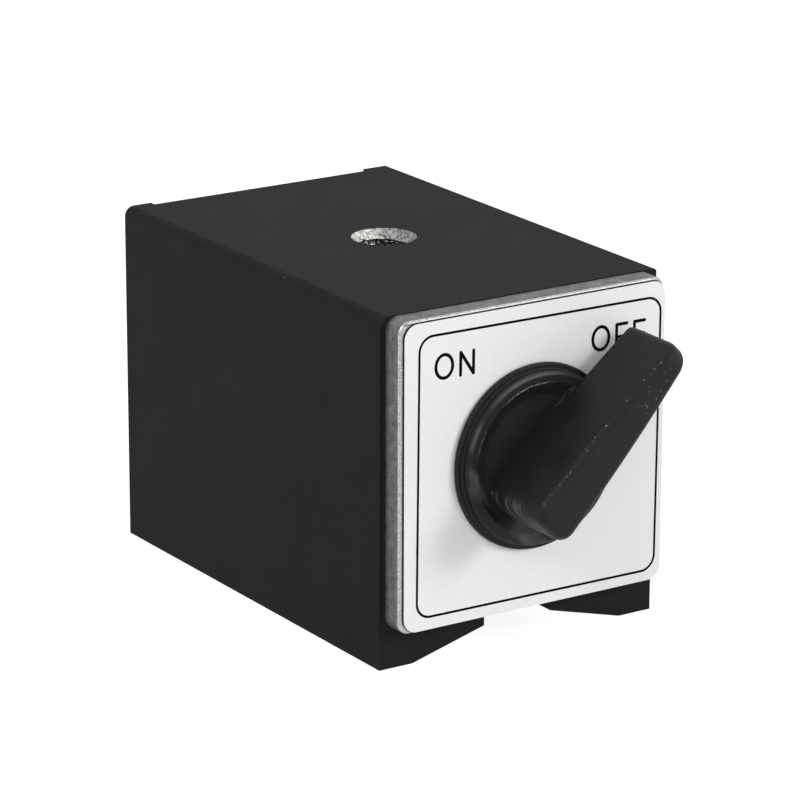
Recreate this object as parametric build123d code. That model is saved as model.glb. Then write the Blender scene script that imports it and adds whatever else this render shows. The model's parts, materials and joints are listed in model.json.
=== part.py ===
from build123d import *
import os
from math import cos, radians, sin, sqrt, tan

os.makedirs("parts", exist_ok=True)

# Switchable magnetic base with a threaded hole for a column.
# Millimetres. X runs to the right seen from the front, the front faces -Y and Z is up.
# The origin is in the middle of the block, on the plane that its soles stand on.

# Block, built from two steel poles and two non-magnetic spacers
block_width = 50.0
block_depth = 75.0
left_edge_radius = 1.6
right_edge_radius = 0.6
sole_width = 5.9
groove_slope = 15.0
slot_width = 12.2
top_spacer_width = 16.0
lower_web = 7.6
ear_width = 4.8
rear_relief = 1.2

# Bore for the magnet rotor; with the web above it, it sets the block's height of 55
axis_height = 30.6
bore_radius = 14.0
upper_web = 10.4
rotor_air_gap = 0.4

# Threaded hole in the top, M8, modelled at its tapping drill
thread_drill_radius = 3.4
thread_mouth_radius = 5.1
thread_floor = 1.0

# Front plate and the label on it
plate_thickness = 3.5
plate_side_inset = 1.05
plate_top_inset = 0.15
plate_bottom = 6.35
plate_corner_radius = 2.0
plate_edge_radius = 0.5
label_thickness = 0.3
label_left_margin = 0.8
label_right_margin = 0.05
label_top_margin = 0.55
label_bottom_margin = 0.2
label_corner_radius = 2.3
label_hole_clearance = 0.3

# Countersunk screws
m3_radius = 1.5
m3_head_radius = 2.75
plate_screw_length = 10.0
plate_screw_inset = 5.0
cover_screw_length = 10.0
cover_screw_inset = 3.3
cover_screw_angle = 45.0
cap_screw_radius = 1.25
cap_screw_head_radius = 2.35
cap_screw_length = 9.0
cap_screw_inset = 3.0
cap_screw_angle = 65.0
head_rim = 0.2
screw_tip = 0.4
screw_clearance = 0.05
tapped_run_out = 1.0

# Bushes, washers and the spindle that they carry
spindle_radius = 4.0
running_clearance = 0.05
bush_wall = 2.0
bush_flange_radius = 7.5
bush_flange = 0.8
seat_clearance = 0.02
thrust_washer_thickness = 0.5
thrust_washer_radius = 6.9
washer_hole_clearance = 0.2
end_float = 0.05
felt_radius = 6.6
spindle_head_radius = 6.5
spindle_head = 2.0
tongue_width = 5.0
tongue_length = 11.0
tongue_depth = 3.0
tongue_clearance = 0.1

# Rotor: a magnet between two steel shoes, held by two end caps
cap_thickness = 4.0
slab_thickness = 10.0
slab_setback = 0.25
slab_count = 3
slab_glue_gap = 0.2
stop_pin_radius = 1.5
stop_pin_inset = 3.0
stop_pin_seat = 2.5
stop_pin_chamfer = 0.3
stop_slot_depth = 1.8
stop_clearance = 0.3
travel = 90.0

# Rear cover and the spring behind the rotor
cover_thickness = 4.5
cover_land = 5.9
cover_chamfer = 0.3
cover_fit = 0.05
cover_skin = 1.0
journal_end_gap = 0.2
disc_spring_height = 1.05
disc_spring_thickness = 0.5
disc_spring_radius = 7.4

# Knob: a thin dished disc with a lever across it, heights measured from the label
knob_gap = 0.3
flange_radius = 14.5
flange_thickness = 0.7
flange_edge_radius = 0.3
drum_radius = 13.5
drum_foot_radius = 0.35
rim_height = 2.5
rim_edge_radius = 0.6
rim_inner_radius = 11.9
rim_lip_radius = 0.2
dish_radius = 10.0
dish_foot_radius = 1.5
floor_height = 1.5
lever_angle = 45.0
lever_base = 2.7
knob_height = 14.6
lever_tip = 24.3
lever_tail = 9.8
lever_tail_half_width = 3.95
lever_middle = 8.0
lever_middle_half_width = 3.3
lever_tip_half_width = 1.8
lever_draft = 1.0
lever_tip_round = 3.2
lever_tail_corner_radius = 2.4
lever_edge_radius = 1.4
socket_roof = 3.1
blade_end_gap = 0.3
blade_thickness = 4.0
core_wall = 1.6
core_roof = 2.2
core_gap = 2.7
core_rim = 1.0
tail_core_gap = 1.8

# Leaf spring that snaps the knob onto the spindle
leaf_thickness = 0.4
leaf_width = 3.0
leaf_bend = 0.5
leaf_stand_off = 0.25
leaf_bottom = 1.5
leaf_notch_height = 6.7
leaf_notch_rise = 1.2

# Places along Y that follow from the sizes above
block_front = -block_depth / 2
block_back = block_depth / 2
plate_front = block_front - plate_thickness
label_front = plate_front - label_thickness
knob_back = label_front - knob_gap
thrust_front = block_front + bush_flange
head_front = thrust_front + thrust_washer_thickness + end_float
front_cap_front = head_front + spindle_head
shoe_front = front_cap_front + cap_thickness
relief_face = block_back - rear_relief
cover_inner = relief_face - cover_thickness
spring_seat = cover_inner - bush_flange
rear_cap_back = spring_seat - disc_spring_height - 2 * end_float
shoe_back = rear_cap_back - cap_thickness
shoe_length = shoe_back - shoe_front
slab_length = (shoe_length - (slab_count - 1) * slab_glue_gap) / slab_count

# Other sizes that follow
block_height = axis_height + bore_radius + upper_web
groove_rise = (block_width / 2 - sole_width - slot_width / 2) * tan(radians(groove_slope))
slot_roof = axis_height - bore_radius - lower_web
thread_bottom = axis_height + bore_radius + thread_floor
rotor_radius = bore_radius - rotor_air_gap
slab_half_width = sqrt(rotor_radius**2 - (slab_thickness / 2) ** 2) - slab_setback
cap_screw_circle = rotor_radius - cap_screw_inset
stop_pin_circle = rotor_radius - stop_pin_inset
relief_half_width = block_width / 2 - ear_width
cover_radius = bore_radius + cover_land
cover_screw_circle = cover_radius - cover_screw_inset
bush_radius = spindle_radius + bush_wall
bush_hole_radius = spindle_radius + running_clearance
washer_hole_radius = spindle_radius + washer_hole_clearance
label_hole_radius = felt_radius + label_hole_clearance
plate_half_width = block_width / 2 - plate_side_inset
plate_top = block_height - plate_top_inset
plate_height = plate_top - plate_bottom
socket_top = knob_height - socket_roof
core_top = knob_height - core_roof


def front_plane(y):
    """Plane across the bore at y: sketches lie in X and Z, and extrusions run to the front."""
    return Plane(origin=(0, y, 0), x_dir=(1, 0, 0), z_dir=(0, -1, 0))


def prism(sketch, y_front, y_back):
    """Solid with the given X-Z outline between two places along Y."""
    return extrude(front_plane(y_back) * sketch, y_back - y_front)


def disc(radius, y_front, y_back, x=0.0, z=axis_height):
    """Cylinder along Y."""
    return prism(Pos(x, z) * Circle(radius), y_front, y_back)


def ring(outer, inner, y_front, y_back):
    """Washer shape around the bore's axis."""
    return disc(outer, y_front, y_back) - disc(inner, y_front, y_back)


def screw_body(radius, head_radius, length, extra=0.0):
    """Countersunk screw along Z with its flat head at zero, or the hole for it."""
    cone = head_radius - radius
    outline = Polyline(
        (0, 0),
        (head_radius + extra, 0),
        (head_radius + extra, -head_rim),
        (radius + extra, -head_rim - cone),
        (radius + extra, screw_tip - length),
        (radius + extra - screw_tip, -length),
        (0, -length),
        close=True,
    )
    return revolve(Plane.XZ * make_face(outline), Axis.Z)


def facing_front(shape, x, y, z):
    """Puts a shape built along Z at a point, with its +Z end towards the front."""
    return Plane(origin=(x, y, z), x_dir=(1, 0, 0), z_dir=(0, -1, 0)) * shape


def facing_back(shape, x, y, z):
    """Puts a shape built along Z at a point, with its +Z end towards the back."""
    return Plane(origin=(x, y, z), x_dir=(-1, 0, 0), z_dir=(0, 1, 0)) * shape


def plate_screw_places():
    """Corners where the front plate is screwed to the poles, as X and Z."""
    x = plate_half_width - plate_screw_inset
    low = plate_bottom + plate_screw_inset
    high = plate_top - plate_screw_inset
    return [(-x, low), (x, low), (x, high), (-x, high)]


def four_places(circle, angle):
    """Four places on a circle around the bore's axis, alike in each quarter, as X and Z."""
    x = circle * cos(radians(angle))
    z = circle * sin(radians(angle))
    return [(sx * x, axis_height + sz * z) for sx in (-1, 1) for sz in (-1, 1)]


def cover_screw_places():
    """Places of the rear cover's screws."""
    return four_places(cover_screw_circle, cover_screw_angle)


def cap_screw_places():
    """Places of the screws through each rotor cap, two in each shoe."""
    return four_places(cap_screw_circle, cap_screw_angle)


def block_cuts():
    """Everything that is cut through the poles and the spacers alike."""
    bore = disc(bore_radius, block_front, cover_inner)
    seat = disc(cover_radius + cover_fit, cover_inner, block_back)
    relief = prism(
        Pos(0, block_height / 2) * Rectangle(2 * relief_half_width, block_height),
        relief_face,
        block_back,
    )
    return bore + seat + relief


def right_pole(edge_radius=right_edge_radius):
    """Steel pole on the right: sole, half of the V groove, slot wall and half of the bore."""
    half = block_width / 2
    outline = Polyline(
        (top_spacer_width / 2, block_height),
        (half, block_height),
        (half, 0),
        (half - sole_width, 0),
        (slot_width / 2, groove_rise),
        (slot_width / 2, axis_height),
        (top_spacer_width / 2, axis_height),
        close=True,
    )
    pole = prism(make_face(outline), block_front, block_back)
    top_edge = pole.edges().filter_by(Axis.Y).sort_by_distance((half, 0, block_height))[0]
    pole = fillet(top_edge, edge_radius) - block_cuts()
    plate_depth = plate_screw_length + tapped_run_out
    plate_hole = screw_body(m3_radius, m3_head_radius, plate_depth, screw_clearance)
    for x, z in plate_screw_places():
        if x > 0:
            pole -= facing_front(plate_hole, x, plate_front, z)
    cover_depth = cover_screw_length + tapped_run_out
    cover_hole = screw_body(m3_radius, m3_head_radius, cover_depth, screw_clearance)
    for x, z in cover_screw_places():
        if x > 0:
            pole -= facing_back(cover_hole, x, relief_face, z)
    return pole


def left_pole():
    """Steel pole on the left, the mirror image of the right one but for its rounder top edge."""
    return mirror(right_pole(left_edge_radius), Plane.YZ)


def top_spacer():
    """Non-magnetic bar between the poles, above the bore, with the threaded hole."""
    height = block_height - axis_height
    bar = prism(
        Pos(0, axis_height + height / 2) * Rectangle(top_spacer_width, height),
        block_front,
        block_back,
    )
    mouth_depth = thread_mouth_radius - thread_drill_radius
    hole = Polyline(
        (0, block_height),
        (thread_mouth_radius, block_height),
        (thread_drill_radius, block_height - mouth_depth),
        (thread_drill_radius, thread_bottom),
        (0, thread_bottom),
        close=True,
    )
    return bar - block_cuts() - revolve(Plane.XZ * make_face(hole), Axis.Z)


def bottom_spacer():
    """Non-magnetic bar between the poles, below the bore: the roof of the slot."""
    height = axis_height - slot_roof
    bar = prism(
        Pos(0, slot_roof + height / 2) * Rectangle(slot_width, height), block_front, block_back
    )
    return bar - block_cuts()


def stop_slot():
    """Arc-shaped slot in the back of the front plate that the stop pin runs in."""
    path = CenterArc((0, axis_height), stop_pin_circle, 0, travel)
    outline = SlotArc(path, 2 * (stop_pin_radius + stop_clearance))
    return prism(outline, block_front - stop_slot_depth, block_front)


def front_plate():
    """Metal plate that closes the front and carries the spindle's bush."""
    outline = Pos(0, plate_bottom + plate_height / 2) * RectangleRounded(
        2 * plate_half_width, plate_height, plate_corner_radius
    )
    plate = prism(outline, plate_front, block_front)
    plate = fillet(plate.faces().sort_by(Axis.Y)[0].edges(), plate_edge_radius)
    plate -= disc(bush_radius + seat_clearance, plate_front, block_front)
    hole = screw_body(m3_radius, m3_head_radius, plate_screw_length, screw_clearance)
    for x, z in plate_screw_places():
        plate -= facing_front(hole, x, plate_front, z)
    return plate - stop_slot()


def face_label():
    """Thin metal label stuck on the front plate, a little off centre."""
    width = 2 * plate_half_width - label_left_margin - label_right_margin
    height = plate_height - label_top_margin - label_bottom_margin
    middle = (
        (label_left_margin - label_right_margin) / 2,
        plate_bottom + label_bottom_margin + height / 2,
    )
    outline = Pos(*middle) * RectangleRounded(width, height, label_corner_radius)
    label = prism(outline, label_front, plate_front)
    return label - disc(label_hole_radius, label_front, plate_front)


def plate_screws():
    """Countersunk screws under the label that hold the front plate."""
    screw = screw_body(m3_radius, m3_head_radius, plate_screw_length)
    return Compound([facing_front(screw, x, plate_front, z) for x, z in plate_screw_places()])


def front_bush():
    """Flanged bronze bush in the front plate."""
    body = disc(bush_radius, plate_front, block_front)
    body += disc(bush_flange_radius, block_front, block_front + bush_flange)
    return body - disc(bush_hole_radius, plate_front, block_front + bush_flange)


def thrust_washer():
    """Steel washer between the front bush and the spindle's head."""
    return ring(
        thrust_washer_radius,
        washer_hole_radius,
        thrust_front,
        thrust_front + thrust_washer_thickness,
    )


def felt_washer():
    """Felt ring behind the knob that keeps swarf out of the bush."""
    return ring(felt_radius, washer_hole_radius, knob_back + end_float, plate_front)


def rear_cover():
    """Round cover screwed into the back of the block, with a blind seat for the rear bush."""
    cover = disc(cover_radius, cover_inner, relief_face)
    cover = chamfer(cover.faces().sort_by(Axis.Y)[-1].edges(), cover_chamfer)
    cover -= disc(bush_radius + seat_clearance, cover_inner, relief_face - cover_skin)
    hole = screw_body(m3_radius, m3_head_radius, cover_screw_length, screw_clearance)
    for x, z in cover_screw_places():
        cover -= facing_back(hole, x, relief_face, z)
    return cover


def cover_screws():
    """Countersunk screws of the rear cover."""
    screw = screw_body(m3_radius, m3_head_radius, cover_screw_length)
    return Compound([facing_back(screw, x, relief_face, z) for x, z in cover_screw_places()])


def rear_bush():
    """Flanged bronze bush in the rear cover."""
    body = disc(bush_radius, cover_inner, relief_face - cover_skin)
    body += disc(bush_flange_radius, spring_seat, cover_inner)
    return body - disc(bush_hole_radius, spring_seat, relief_face - cover_skin)


def disc_spring():
    """Dished spring washer that keeps the rotor pushed forward."""
    front = rear_cap_back + end_float
    back = spring_seat - end_float
    outline = Polyline(
        (washer_hole_radius, front),
        (disc_spring_radius, back - disc_spring_thickness),
        (disc_spring_radius, back),
        (washer_hole_radius, front + disc_spring_thickness),
        close=True,
    )
    spring = revolve(make_face(outline), Axis.Y)
    return Pos(0, 0, axis_height) * spring


def double_d(radius, thickness):
    """Circle with two parallel flats, the section of the spindle's end."""
    return Circle(radius) & Rectangle(2 * radius, thickness)


def knob_plane():
    """Frame of the knob: Z is the height from the label, X runs along the lever."""
    turn = radians(lever_angle)
    return Plane(
        origin=(0, label_front, axis_height), x_dir=(cos(turn), 0, sin(turn)), z_dir=(0, -1, 0)
    )


def lever_outline(growth, wall=0.0):
    """Lever seen from the front: sides that bulge a little and taper to the tip."""
    tail = wall - lever_tail
    tip = lever_tip - wall
    tail_half = lever_tail_half_width + growth - wall
    middle_half = lever_middle_half_width + growth - wall
    tip_half = lever_tip_half_width + growth - wall
    outline = make_face(
        [
            ThreePointArc((tail, tail_half), (lever_middle, middle_half), (tip, tip_half)),
            Line((tip, tip_half), (tip, -tip_half)),
            ThreePointArc((tip, -tip_half), (lever_middle, -middle_half), (tail, -tail_half)),
            Line((tail, -tail_half), (tail, tail_half)),
        ]
    )
    if wall > 0:
        return outline
    return fillet(outline.vertices().sort_by(Axis.X)[:2], lever_tail_corner_radius)


def lever_body(growth):
    """Lever with drafted sides, a tip that curves away from the front and rounded edges."""
    lever = loft(
        [
            Pos(0, 0, lever_base) * lever_outline(growth),
            Pos(0, 0, knob_height) * lever_outline(0.0),
        ]
    )
    front = lever.faces().sort_by(Axis.Z)[-1]
    lever = fillet(front.edges().sort_by(Axis.X)[-1], lever_tip_round)
    foot = lever.faces().sort_by(Axis.Z)[0].edges()
    tip_joins = lever.edges().filter_by(Axis.Y).filter_by(lambda edge: edge.center().X > 0)
    tail_joins = lever.edges().filter_by(
        lambda edge: edge.center().X < 0 and edge.center().Z < knob_height - lever_edge_radius
    )
    smooth = [*foot, *tip_joins, *tail_joins]
    sharp = [edge for edge in lever.edges() if edge not in smooth]
    return fillet(sharp, lever_edge_radius)


def knob_disc():
    """Dished disc of the knob: thin flange, low rim and a sunk floor."""
    points = [
        (0, knob_gap),
        (flange_radius, knob_gap),
        (flange_radius, knob_gap + flange_thickness),
        (drum_radius, knob_gap + flange_thickness),
        (drum_radius, rim_height),
        (rim_inner_radius, rim_height),
        (dish_radius, floor_height),
        (0, floor_height),
    ]
    outline = make_face(Polyline(*points, close=True))
    radii = [
        flange_edge_radius,
        drum_foot_radius,
        rim_edge_radius,
        rim_lip_radius,
        dish_foot_radius,
    ]
    for point, radius in zip(points[2:], radii):
        corner = outline.vertices().sort_by_distance((*point, 0))[0]
        outline = fillet(corner, radius)
    return revolve(Plane.XZ * outline, Axis.Z)


def knob():
    """Moulded knob: disc and lever in one piece, cored out from behind."""
    growth = (knob_height - lever_base) * tan(radians(lever_draft))
    root = lever_outline(growth) & Circle(rim_inner_radius)
    body = knob_disc() + extrude(Pos(0, 0, floor_height) * root, lever_base - floor_height)
    body += lever_body(growth)
    socket = double_d(spindle_radius + running_clearance, blade_thickness + 2 * running_clearance)
    body -= extrude(Pos(0, 0, knob_gap) * socket, socket_top - knob_gap)
    body -= extrude(Pos(0, 0, knob_gap) * leaf_pocket(), socket_top - knob_gap)
    hollow = lever_outline(0.0, core_wall)
    core = (spindle_radius + core_gap, rim_inner_radius - core_rim)
    tail_core = (-lever_tail, -spindle_radius - tail_core_gap)
    for start, end in (core, tail_core):
        band = Pos((start + end) / 2, 0) * Rectangle(end - start, 2 * drum_radius)
        body -= extrude(Pos(0, 0, knob_gap) * (hollow & band), core_top - knob_gap)
    return knob_plane() * body


def leaf_pocket():
    """Room for the leaf spring beside the spindle's end."""
    outer = spindle_radius + leaf_stand_off + leaf_thickness + running_clearance
    inner = spindle_radius / 2
    return Pos((outer + inner) / 2, 0) * Rectangle(
        outer - inner, leaf_width + 2 * running_clearance
    )


def knob_leaf():
    """Bent leaf spring that snaps into the notch of the spindle."""
    near = spindle_radius + leaf_stand_off
    top = socket_top - blade_end_gap
    inner = [
        (near, leaf_bottom),
        (near, leaf_notch_height - leaf_notch_rise),
        (near - leaf_bend, leaf_notch_height),
        (near, leaf_notch_height + leaf_notch_rise),
        (near, top),
    ]
    outer = [(x + leaf_thickness, z) for x, z in reversed(inner)]
    leaf = extrude(
        Plane.XZ * make_face(Polyline(*inner, *outer, close=True)), leaf_width / 2, both=True
    )
    return knob_plane() * leaf


def spindle():
    """Steel spindle: flatted end in the knob, head behind the plate, tongue in the rotor."""
    body = disc(spindle_radius, knob_back, head_front)
    body += disc(spindle_head_radius, head_front, front_cap_front)
    body += tongue(0.0, tongue_depth)
    end = socket_top - blade_end_gap
    blade = extrude(
        Pos(0, 0, knob_gap) * double_d(spindle_radius, blade_thickness), end - knob_gap
    )
    notch_depth = leaf_bend + leaf_stand_off
    notch = Polyline(
        (spindle_radius + leaf_stand_off, leaf_notch_height - leaf_notch_rise),
        (spindle_radius - notch_depth, leaf_notch_height),
        (spindle_radius + leaf_stand_off, leaf_notch_height + leaf_notch_rise),
        close=True,
    )
    blade -= extrude(Plane.XZ * make_face(notch), spindle_radius, both=True)
    return body + knob_plane() * blade


def tongue(clearance, depth):
    """Flat tongue behind the spindle's head, or the slot for it."""
    outline = Rectangle(tongue_length + 2 * clearance, tongue_width + 2 * clearance)
    turned = Pos(0, axis_height) * Rot(0, 0, lever_angle) * outline
    return prism(turned, front_cap_front, front_cap_front + depth)


def front_cap():
    """Non-magnetic front cap of the rotor, driven by the spindle's tongue."""
    cap = disc(rotor_radius, front_cap_front, shoe_front)
    cap -= tongue(tongue_clearance, tongue_depth + tongue_clearance)
    cap -= disc(
        stop_pin_radius + seat_clearance,
        front_cap_front,
        front_cap_front + stop_pin_seat,
        stop_pin_circle,
    )
    hole = screw_body(cap_screw_radius, cap_screw_head_radius, cap_screw_length, screw_clearance)
    for x, z in cap_screw_places():
        cap -= facing_front(hole, x, front_cap_front, z)
    return cap


def rear_cap():
    """Non-magnetic rear cap of the rotor with its journal."""
    cap = disc(rotor_radius, shoe_back, rear_cap_back)
    hole = screw_body(cap_screw_radius, cap_screw_head_radius, cap_screw_length, screw_clearance)
    for x, z in cap_screw_places():
        cap -= facing_back(hole, x, rear_cap_back, z)
    journal_end = relief_face - cover_skin - journal_end_gap
    return cap + disc(spindle_radius, rear_cap_back, journal_end)


def front_cap_screws():
    """Screws that hold the front cap to the shoes."""
    screw = screw_body(cap_screw_radius, cap_screw_head_radius, cap_screw_length)
    return Compound([facing_front(screw, x, front_cap_front, z) for x, z in cap_screw_places()])


def rear_cap_screws():
    """Screws that hold the rear cap to the shoes."""
    screw = screw_body(cap_screw_radius, cap_screw_head_radius, cap_screw_length)
    return Compound([facing_back(screw, x, rear_cap_back, z) for x, z in cap_screw_places()])


def upper_shoe():
    """Steel shoe that fills the rotor's round above the magnet."""
    keep = Pos(0, slab_thickness / 2 + rotor_radius / 2) * Rectangle(2 * rotor_radius, rotor_radius)
    outline = Pos(0, axis_height) * (Circle(rotor_radius) & keep)
    shoe = prism(outline, shoe_front, shoe_back)
    depth = cap_screw_length + tapped_run_out
    hole = screw_body(cap_screw_radius, cap_screw_head_radius, depth, screw_clearance)
    for x, z in cap_screw_places():
        if z > axis_height:
            shoe -= facing_front(hole, x, front_cap_front, z)
            shoe -= facing_back(hole, x, rear_cap_back, z)
    return shoe


def lower_shoe():
    """Steel shoe below the magnet, the mirror image of the upper one."""
    return mirror(upper_shoe(), Plane(origin=(0, 0, axis_height), z_dir=(0, 0, 1)))


def magnet_slabs():
    """Ferrite slabs in a row between the shoes, magnetised from shoe to shoe."""
    slabs = []
    for number in range(slab_count):
        start = shoe_front + number * (slab_length + slab_glue_gap)
        outline = Pos(0, axis_height) * Rectangle(2 * slab_half_width, slab_thickness)
        slabs.append(prism(outline, start, start + slab_length))
    return Compound(slabs)


def stop_pin():
    """Pin in the front cap that runs in the plate's arc slot and stops the turn."""
    front = block_front - stop_slot_depth + stop_clearance
    pin = disc(stop_pin_radius, front, front_cap_front + stop_pin_seat, stop_pin_circle)
    return chamfer(pin.faces().sort_by(Axis.Y)[0].edges(), stop_pin_chamfer)


pieces = {
    "left_pole": left_pole(),
    "right_pole": right_pole(),
    "top_spacer": top_spacer(),
    "bottom_spacer": bottom_spacer(),
    "front_plate": front_plate(),
    "face_label": face_label(),
    "plate_screws": plate_screws(),
    "front_bush": front_bush(),
    "thrust_washer": thrust_washer(),
    "felt_washer": felt_washer(),
    "rear_cover": rear_cover(),
    "cover_screws": cover_screws(),
    "rear_bush": rear_bush(),
    "disc_spring": disc_spring(),
    "knob": knob(),
    "knob_leaf": knob_leaf(),
    "spindle": spindle(),
    "front_cap": front_cap(),
    "rear_cap": rear_cap(),
    "front_cap_screws": front_cap_screws(),
    "rear_cap_screws": rear_cap_screws(),
    "upper_shoe": upper_shoe(),
    "lower_shoe": lower_shoe(),
    "magnet_slabs": magnet_slabs(),
    "stop_pin": stop_pin(),
}

for name, piece in pieces.items():
    export_step(piece, f"parts/{name}.step")
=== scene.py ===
import json
import math

import bmesh
import bpy
from bpy.props import FloatProperty, FloatVectorProperty, IntProperty, PointerProperty
from mathutils import Matrix, Vector


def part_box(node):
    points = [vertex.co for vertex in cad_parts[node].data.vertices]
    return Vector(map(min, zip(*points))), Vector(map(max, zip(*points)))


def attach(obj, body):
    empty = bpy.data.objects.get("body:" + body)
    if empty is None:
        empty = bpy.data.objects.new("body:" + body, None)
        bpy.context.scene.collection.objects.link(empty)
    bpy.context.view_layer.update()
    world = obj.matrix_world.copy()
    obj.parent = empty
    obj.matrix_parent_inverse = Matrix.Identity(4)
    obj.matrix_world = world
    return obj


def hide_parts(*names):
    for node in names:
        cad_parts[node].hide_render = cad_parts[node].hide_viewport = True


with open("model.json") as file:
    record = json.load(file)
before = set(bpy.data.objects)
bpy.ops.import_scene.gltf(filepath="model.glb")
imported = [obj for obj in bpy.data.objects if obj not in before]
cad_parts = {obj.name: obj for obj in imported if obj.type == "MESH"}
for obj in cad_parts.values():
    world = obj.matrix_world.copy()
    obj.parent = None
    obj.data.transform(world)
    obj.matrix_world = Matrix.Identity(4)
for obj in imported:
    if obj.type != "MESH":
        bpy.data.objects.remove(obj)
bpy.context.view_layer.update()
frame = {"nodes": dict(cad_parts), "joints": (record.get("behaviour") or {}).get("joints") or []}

# Finishes, print, thread and screws of a switchable magnetic base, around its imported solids.
# Metres. X runs to the right seen from the front, the front faces -Y and Z is up.

bl_info = {
    "name": "Switchable Magnetic Base",
    "version": (1, 0, 0),
    "blender": (4, 5, 0),
    "location": "3D View > Sidebar > Magnetic Base",
    "description": "Dresses the solids of a magnetic base with its finishes, print, thread and screws",
    "category": "Object",
}

MM = 0.001


def linear(hex_colour):
    """Scene-linear colour of an sRGB hex value."""
    channels = [int(hex_colour[start : start + 2], 16) / 255 for start in (0, 2, 4)]
    return tuple(c / 12.92 if c <= 0.04045 else ((c + 0.055) / 1.055) ** 2.4 for c in channels)


# The lever's turn from X at rest, where the knob points at OFF
lever_angle = math.radians(45)

# The label's rounded corners
label_corner = 2.3 * MM

# Places that follow from the frame
turn_axis = Vector(frame["joints"][0]["pos_m"])
block_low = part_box("left_pole")[0]
block_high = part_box("right_pole")[1]
label_low, label_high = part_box("face_label")
plate_low, plate_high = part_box("front_plate")
spacer_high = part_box("top_spacer")[1]


def length(label, about, default):
    """Length property in metres, with its default given in millimetres."""
    return FloatProperty(
        name=label, description=about, default=default * MM, unit="LENGTH", subtype="DISTANCE", precision=5
    )


def colour(label, about, hex_colour):
    """Colour property with its default given as an sRGB hex value."""
    return FloatVectorProperty(
        name=label, description=about, default=linear(hex_colour), subtype="COLOR", min=0, max=1
    )


class MagneticBaseSizes(bpy.types.PropertyGroup):
    """Sizes of the details that the dressing adds to the solids"""

    thread_radius: length("Thread radius", "Outer radius of the thread in the top hole, M8", 4.0)
    drill_radius: length("Drill radius", "Radius of the drilled hole that the thread is cut in", 3.4)
    mouth_radius: length("Mouth radius", "Radius of the countersink where it meets the top face", 5.1)
    thread_pitch: length("Thread pitch", "Distance between two turns of the thread", 1.25)
    thread_bottom: length("Thread bottom", "Height of the hole's floor above the soles", 45.6)
    border_left: length("Border left", "Where the printed border's left line runs, along X", -20.69)
    border_right: length("Border right", "Where the printed border's right line runs, along X", 22.94)
    border_low: length("Border low", "Height of the printed border's lower line", 8.38)
    border_high: length("Border high", "Height of the printed border's upper line", 51.96)
    border_corner: length("Border corner", "Radius of the printed border's corners", 2.4)
    border_line: length("Border line", "Width of the printed border's line", 0.38)
    letter_height: length("Letter height", "Height of the printed letters", 4.0)
    letter_line: length("Letter line", "Width of the printed letters' strokes", 0.52)
    letter_foot: length("Letter foot", "Height of the letters' feet above the soles", 44.93)
    letter_gap: length("Letter gap", "Gap between two letters of a word", 0.9)
    on_left: length("ON left", "Where the word ON starts, along X", -18.05)
    off_left: length("OFF left", "Where the word OFF starts, along X", 10.17)
    print_turn: FloatProperty(
        name="Print turn",
        description="How far the print is turned clockwise on the label",
        default=math.radians(0.44),
        unit="ROTATION",
        subtype="ANGLE",
    )
    ink: length("Ink", "Thickness of the printed ink", 0.03)
    key_depth: length("Key depth", "Depth of the hexagon sockets in the screws", 1.0)


class MagneticBaseColours(bpy.types.PropertyGroup):
    """Colours of the finishes"""

    coating: colour("Coating", "Textured black coating of the block", "202020")
    chip: colour("Chip", "Bare metal where the coating has chipped", "8C8C8C")
    moulding: colour("Moulding", "Black moulding of the knob", "1E1E1E")
    # This pale grey paints the scuffs on the lever's edge and the painted highlights on the rim and by the
    # lever's tail
    scuff: colour("Scuff", "Pale scuffs on the moulding's edges", "8A8A8A")
    label: colour("Label", "Satin white face of the label", "F3F3F3")
    # The label's cut edge is painted this dark grey as shade along its outline
    label_edge: colour("Label edge", "Cut edge of the label and the glue line around it", "303030")
    ink: colour("Ink", "Printing ink", "060606")
    plate: colour("Plate", "Brushed front face of the plate", "BEBEBE")
    plate_side: colour("Plate side", "Blasted sides of the plate", "747474")
    steel: colour("Steel", "Ground steel", "B9B8B6")
    zinc: colour("Zinc", "Zinc plating of the screws", "C2C4C6")
    bronze: colour("Bronze", "Sintered bronze of the bushes", "A77C45")
    felt: colour("Felt", "Pressed grey wool felt", "6F6F6C")
    cast: colour("Cast aluminium", "Die-cast caps of the rotor", "BFC0C1")
    ferrite: colour("Ferrite", "Sintered ferrite of the magnet", "3A3A3C")


class MagneticBaseStage(bpy.types.PropertyGroup):
    """Camera, lamps and floor"""

    azimuth: FloatProperty(
        name="Azimuth", description="Camera's turn to the left of the front", default=33.155
    )
    elevation: FloatProperty(name="Elevation", description="Camera's rise above the floor", default=17.363)
    roll: FloatProperty(name="Roll", description="Camera's turn about its own axis", default=0.152)
    distance: length("Distance", "From the camera to the point that it looks at", 680.48)
    target_x: length("Target X", "Point that the camera looks at, along X", 2.246)
    target_y: length("Target Y", "Point that the camera looks at, along Y", -1.252)
    target_z: length("Target Z", "Point that the camera looks at, above the floor", 28.302)
    lens: FloatProperty(name="Lens", description="Focal length on a 36 mm sensor", default=194.4)
    floor: length("Floor", "Width of the floor", 6000.0)
    key: FloatProperty(
        name="Key", description="Share of plain white that the lamp at the right gives", default=0.34
    )
    top: FloatProperty(
        name="Top", description="Share of plain white that the lamp overhead gives", default=0.05
    )
    fill: FloatProperty(
        name="Fill", description="Share of plain white that the lamp at the left gives", default=0.25
    )
    ambience: FloatProperty(name="Ambience", description="Light from all around", default=0.54)
    facets: IntProperty(name="Facets", description="Facets around a turned detail", default=64)


def feed(tree, node, inputs):
    """Sets a node's inputs; each takes a value, or is linked to a socket or to a node's first output."""
    for key, value in inputs.items():
        if isinstance(value, bpy.types.Node):
            value = value.outputs[0]
        if isinstance(value, bpy.types.NodeSocket):
            tree.links.new(value, node.inputs[key])
        else:
            node.inputs[key].default_value = value


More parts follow.
